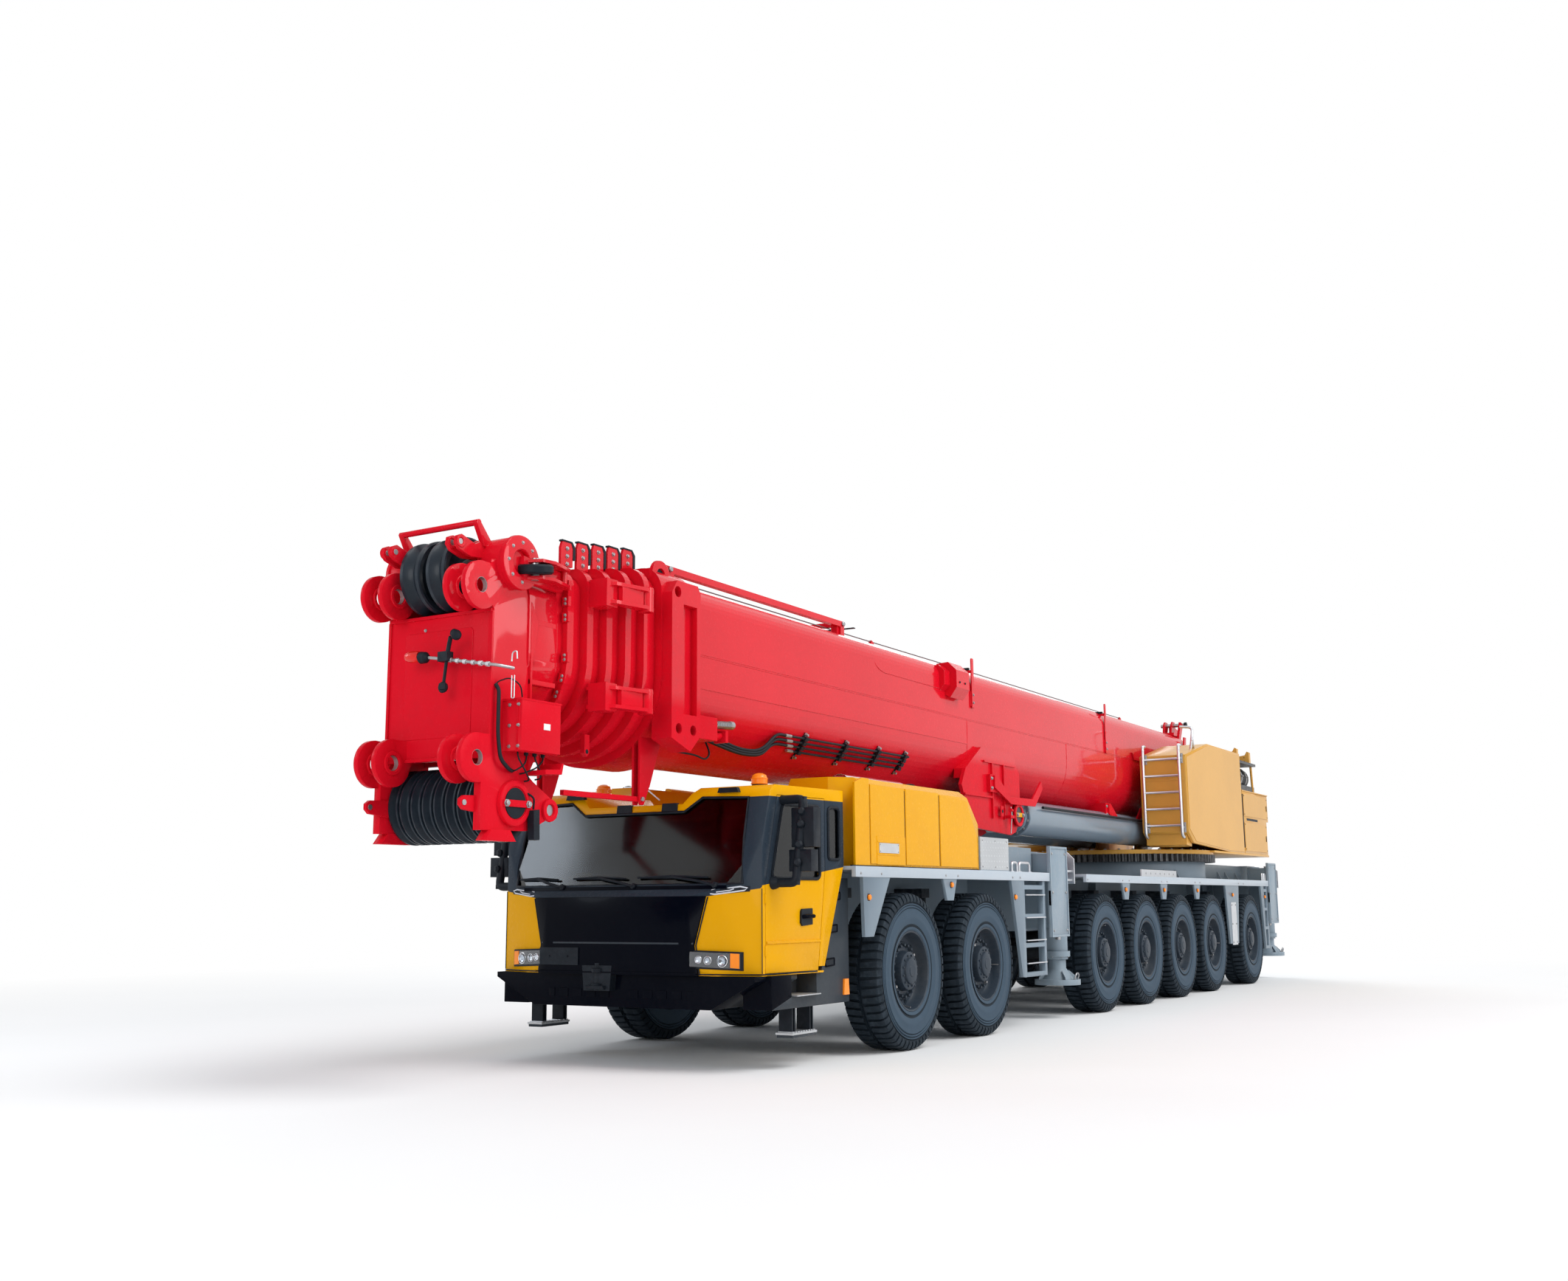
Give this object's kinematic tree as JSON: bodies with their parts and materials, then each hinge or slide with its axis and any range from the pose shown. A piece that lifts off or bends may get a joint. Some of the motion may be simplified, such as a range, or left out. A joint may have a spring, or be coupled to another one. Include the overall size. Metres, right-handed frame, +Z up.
{
  "type": "mobile crane",
  "caption": "Road-going all-terrain crane: multi-axle carrier with a low cab, slewing upper works, telescopic boom laid over the cab and box outriggers.",
  "frame": {"origin": "on the ground under the middle of the machine's length and width", "axes": "+X forward along the travel direction, +Y to the driver's left, +Z up"},
  "size_m": [19.24, 3.28, 4.04],
  "materials": {
    "frame_grey": "satin paint",
    "deck_silver": "satin sheet with rolled tread",
    "cab_yellow": "glossy paint",
    "house_yellow": "glossy paint",
    "trim_black": "satin plastic",
    "cab_glass": "tinted glass",
    "interior_grey": "grained plastic",
    "engine_grey": "cast and painted",
    "ring_steel": "greased steel",
    "axle_dark": "painted casting",
    "tyre_black": "dark rubber with a painted rim",
    "outrigger_grey": "satin paint",
    "boom_red": "glossy paint",
    "sheave_black": "cast nylon",
    "cylinder_grey": "satin paint",
    "rod_chrome": "hard chrome",
    "winch_steel": "worn steel"
  },
  "bodies": {
    "carrier": {"chassis_frame": "frame_grey", "axle_beams": "axle_dark", "carrier_deck": "deck_silver", "cab_shell": "cab_yellow", "cab_front": "trim_black", "cab_glass": "cab_glass", "cab_interior": "interior_grey", "engine_hood": "cab_yellow", "carrier_engine": "engine_grey", "slewing_ring": "ring_steel"},
    "door_left": {"door_left": "cab_yellow", "door_glass_left": "cab_glass"},
    "door_right": {"door_right": "cab_yellow", "door_glass_right": "cab_glass"},
    "upper": {"turntable": "house_yellow", "house_covers": "house_yellow", "upper_engine": "engine_grey", "operator_cab": "house_yellow", "operator_glass": "cab_glass"},
    "winch": {"winch_drum": "winch_steel"},
    "lift_barrels": {"cylinder_barrels": "cylinder_grey"},
    "lift_rods": {"cylinder_rods": "rod_chrome"},
    "boom": {"boom_base": "boom_red"},
    "knuckle_1_left": {"knuckle_1_left": "axle_dark"},
    "knuckle_1_right": {"knuckle_1_right": "axle_dark"},
    "knuckle_2_left": {"knuckle_2_left": "axle_dark"},
    "knuckle_2_right": {"knuckle_2_right": "axle_dark"},
    "knuckle_7_left": {"knuckle_7_left": "axle_dark"},
    "knuckle_7_right": {"knuckle_7_right": "axle_dark"},
    "wheel_1_left": {"wheel_1_left": "tyre_black"},
    "wheel_1_right": {"wheel_1_right": "tyre_black"},
    "wheel_2_left": {"wheel_2_left": "tyre_black"},
    "wheel_2_right": {"wheel_2_right": "tyre_black"},
    "wheel_3_left": {"wheel_3_left": "tyre_black"},
    "wheel_3_right": {"wheel_3_right": "tyre_black"},
    "wheel_4_left": {"wheel_4_left": "tyre_black"},
    "wheel_4_right": {"wheel_4_right": "tyre_black"},
    "wheel_5_left": {"wheel_5_left": "tyre_black"},
    "wheel_5_right": {"wheel_5_right": "tyre_black"},
    "wheel_6_left": {"wheel_6_left": "tyre_black"},
    "wheel_6_right": {"wheel_6_right": "tyre_black"},
    "wheel_7_left": {"wheel_7_left": "tyre_black"},
    "wheel_7_right": {"wheel_7_right": "tyre_black"},
    "beam_front_left": {"beam_front_left": "outrigger_grey"},
    "jack_front_left": {"jack_front_left": "outrigger_grey"},
    "beam_front_right": {"beam_front_right": "outrigger_grey"},
    "jack_front_right": {"jack_front_right": "outrigger_grey"},
    "beam_rear_left": {"beam_rear_left": "outrigger_grey"},
    "jack_rear_left": {"jack_rear_left": "outrigger_grey"},
    "beam_rear_right": {"beam_rear_right": "outrigger_grey"},
    "jack_rear_right": {"jack_rear_right": "outrigger_grey"},
    "section_1": {"section_1": "boom_red"},
    "section_2": {"section_2": "boom_red"},
    "section_3": {"section_3": "boom_red"},
    "section_4": {"section_4": "boom_red"},
    "section_5": {"section_5": "boom_red"},
    "boom_head": {"section_6": "boom_red", "boom_head": "boom_red"},
    "top_sheaves": {"top_sheaves": "sheave_black"},
    "lower_sheaves": {"lower_sheaves": "sheave_black"}
  },
  "joints": [
    {"name": "steer_1_left", "type": "hinge", "parent": "carrier", "child": "knuckle_1_left", "pos_m": [4.82, 1.06, 0.685], "axis": [0, 0, 1], "range_deg": [-35, 35]},
    {"name": "steer_1_right", "type": "hinge", "parent": "carrier", "child": "knuckle_1_right", "pos_m": [4.82, -1.06, 0.685], "axis": [0, 0, 1], "range_deg": [-35, 35]},
    {"name": "steer_2_left", "type": "hinge", "parent": "carrier", "child": "knuckle_2_left", "pos_m": [3.15, 1.06, 0.685], "axis": [0, 0, 1], "range_deg": [-28, 28]},
    {"name": "steer_2_right", "type": "hinge", "parent": "carrier", "child": "knuckle_2_right", "pos_m": [3.15, -1.06, 0.685], "axis": [0, 0, 1], "range_deg": [-28, 28]},
    {"name": "steer_7_left", "type": "hinge", "parent": "carrier", "child": "knuckle_7_left", "pos_m": [-7.28, 1.06, 0.685], "axis": [0, 0, 1], "range_deg": [-19.25, 19.25]},
    {"name": "steer_7_right", "type": "hinge", "parent": "carrier", "child": "knuckle_7_right", "pos_m": [-7.28, -1.06, 0.685], "axis": [0, 0, 1], "range_deg": [-19.25, 19.25]},
    {"name": "spin_1_left", "type": "hinge", "parent": "knuckle_1_left", "child": "wheel_1_left", "pos_m": [4.82, 1.3, 0.685], "axis": [0, 1, 0], "continuous": true},
    {"name": "spin_1_right", "type": "hinge", "parent": "knuckle_1_right", "child": "wheel_1_right", "pos_m": [4.82, -1.3, 0.685], "axis": [0, 1, 0], "continuous": true},
    {"name": "spin_2_left", "type": "hinge", "parent": "knuckle_2_left", "child": "wheel_2_left", "pos_m": [3.15, 1.3, 0.685], "axis": [0, 1, 0], "continuous": true},
    {"name": "spin_2_right", "type": "hinge", "parent": "knuckle_2_right", "child": "wheel_2_right", "pos_m": [3.15, -1.3, 0.685], "axis": [0, 1, 0], "continuous": true},
    {"name": "spin_3_left", "type": "hinge", "parent": "carrier", "child": "wheel_3_left", "pos_m": [-0.42, 1.3, 0.685], "axis": [0, 1, 0], "continuous": true},
    {"name": "spin_3_right", "type": "hinge", "parent": "carrier", "child": "wheel_3_right", "pos_m": [-0.42, -1.3, 0.685], "axis": [0, 1, 0], "continuous": true},
    {"name": "spin_4_left", "type": "hinge", "parent": "carrier", "child": "wheel_4_left", "pos_m": [-1.98, 1.3, 0.685], "axis": [0, 1, 0], "continuous": true},
    {"name": "spin_4_right", "type": "hinge", "parent": "carrier", "child": "wheel_4_right", "pos_m": [-1.98, -1.3, 0.685], "axis": [0, 1, 0], "continuous": true},
    {"name": "spin_5_left", "type": "hinge", "parent": "carrier", "child": "wheel_5_left", "pos_m": [-3.54, 1.3, 0.685], "axis": [0, 1, 0], "continuous": true},
    {"name": "spin_5_right", "type": "hinge", "parent": "carrier", "child": "wheel_5_right", "pos_m": [-3.54, -1.3, 0.685], "axis": [0, 1, 0], "continuous": true},
    {"name": "spin_6_left", "type": "hinge", "parent": "carrier", "child": "wheel_6_left", "pos_m": [-5.1, 1.3, 0.685], "axis": [0, 1, 0], "continuous": true},
    {"name": "spin_6_right", "type": "hinge", "parent": "carrier", "child": "wheel_6_right", "pos_m": [-5.1, -1.3, 0.685], "axis": [0, 1, 0], "continuous": true},
    {"name": "spin_7_left", "type": "hinge", "parent": "knuckle_7_left", "child": "wheel_7_left", "pos_m": [-7.28, 1.3, 0.685], "axis": [0, 1, 0], "continuous": true},
    {"name": "spin_7_right", "type": "hinge", "parent": "knuckle_7_right", "child": "wheel_7_right", "pos_m": [-7.28, -1.3, 0.685], "axis": [0, 1, 0], "continuous": true},
    {"name": "door_left_hinge", "type": "hinge", "parent": "carrier", "child": "door_left", "pos_m": [7.01, 1.29389, 1.2], "axis": [0, 0, -1], "range_deg": [0, 70]},
    {"name": "door_right_hinge", "type": "hinge", "parent": "carrier", "child": "door_right", "pos_m": [7.01, -1.29389, 1.2], "axis": [0, 0, 1], "range_deg": [0, 70]},
    {"name": "beam_front_left_slide", "type": "slide", "parent": "carrier", "child": "beam_front_left", "axis": [0, 1, 0], "range_m": [0, 1.6]},
    {"name": "jack_front_left_slide", "type": "slide", "parent": "beam_front_left", "child": "jack_front_left", "axis": [0, 0, -1], "range_m": [0, 0.55]},
    {"name": "beam_front_right_slide", "type": "slide", "parent": "carrier", "child": "beam_front_right", "axis": [0, -1, 0], "range_m": [0, 1.6]},
    {"name": "jack_front_right_slide", "type": "slide", "parent": "beam_front_right", "child": "jack_front_right", "axis": [0, 0, -1], "range_m": [0, 0.55]},
    {"name": "beam_rear_left_slide", "type": "slide", "parent": "carrier", "child": "beam_rear_left", "axis": [0, 1, 0], "range_m": [0, 1.6]},
    {"name": "jack_rear_left_slide", "type": "slide", "parent": "beam_rear_left", "child": "jack_rear_left", "axis": [0, 0, -1], "range_m": [0, 0.55]},
    {"name": "beam_rear_right_slide", "type": "slide", "parent": "carrier", "child": "beam_rear_right", "axis": [0, -1, 0], "range_m": [0, 1.6]},
    {"name": "jack_rear_right_slide", "type": "slide", "parent": "beam_rear_right", "child": "jack_rear_right", "axis": [0, 0, -1], "range_m": [0, 0.55]},
    {"name": "slew", "type": "hinge", "parent": "carrier", "child": "upper", "pos_m": [-5.48, 0, 1.95], "axis": [0, 0, 1], "continuous": true},
    {"name": "winch_spin", "type": "hinge", "parent": "upper", "child": "winch", "pos_m": [-8.36, 0, 2.5], "axis": [0, 1, 0], "continuous": true},
    {"name": "luff", "type": "hinge", "parent": "upper", "child": "boom", "pos_m": [-7.28, 0, 3.05], "axis": [0, -1, 0], "range_deg": [0, 80]},
    {"name": "lift_swing", "type": "hinge", "parent": "upper", "child": "lift_barrels", "pos_m": [-5.58, 0, 2.29], "axis": [0, -1, 0], "range_deg": [0, 87.36]},
    {"name": "lift_stroke", "type": "slide", "parent": "lift_barrels", "child": "lift_rods", "axis": [1, 0, 0], "range_m": [0, 2.2214]},
    {"name": "telescope_1", "type": "slide", "parent": "boom", "child": "section_1", "axis": [1, 0, 0], "range_m": [0, 11.2]},
    {"name": "telescope_2", "type": "slide", "parent": "section_1", "child": "section_2", "axis": [1, 0, 0], "range_m": [0, 11.2]},
    {"name": "telescope_3", "type": "slide", "parent": "section_2", "child": "section_3", "axis": [1, 0, 0], "range_m": [0, 11.2]},
    {"name": "telescope_4", "type": "slide", "parent": "section_3", "child": "section_4", "axis": [1, 0, 0], "range_m": [0, 11.2]},
    {"name": "telescope_5", "type": "slide", "parent": "section_4", "child": "section_5", "axis": [1, 0, 0], "range_m": [0, 11.2]},
    {"name": "telescope_6", "type": "slide", "parent": "section_5", "child": "boom_head", "axis": [1, 0, 0], "range_m": [0, 11.2]},
    {"name": "top_sheave_spin", "type": "hinge", "parent": "boom_head", "child": "top_sheaves", "pos_m": [9.26, 0, 3.62], "axis": [0, 1, 0], "continuous": true},
    {"name": "lower_sheave_spin", "type": "hinge", "parent": "boom_head", "child": "lower_sheaves", "pos_m": [9.08, 0, 1.985], "axis": [0, 1, 0], "continuous": true}
  ],
  "couplings": [
    {"joint": "steer_1_right", "follows": "steer_1_left", "ratio": 1},
    {"joint": "steer_2_left", "follows": "steer_1_left", "ratio": 0.8},
    {"joint": "steer_2_right", "follows": "steer_1_left", "ratio": 0.8},
    {"joint": "steer_7_left", "follows": "steer_1_left", "ratio": -0.55},
    {"joint": "steer_7_right", "follows": "steer_1_left", "ratio": -0.55},
    {"joint": "lift_swing", "follows": "luff", "ratio": 1.0918},
    {"joint": "lift_stroke", "follows": "luff", "m_per_rad": 1.5903}
  ]
}
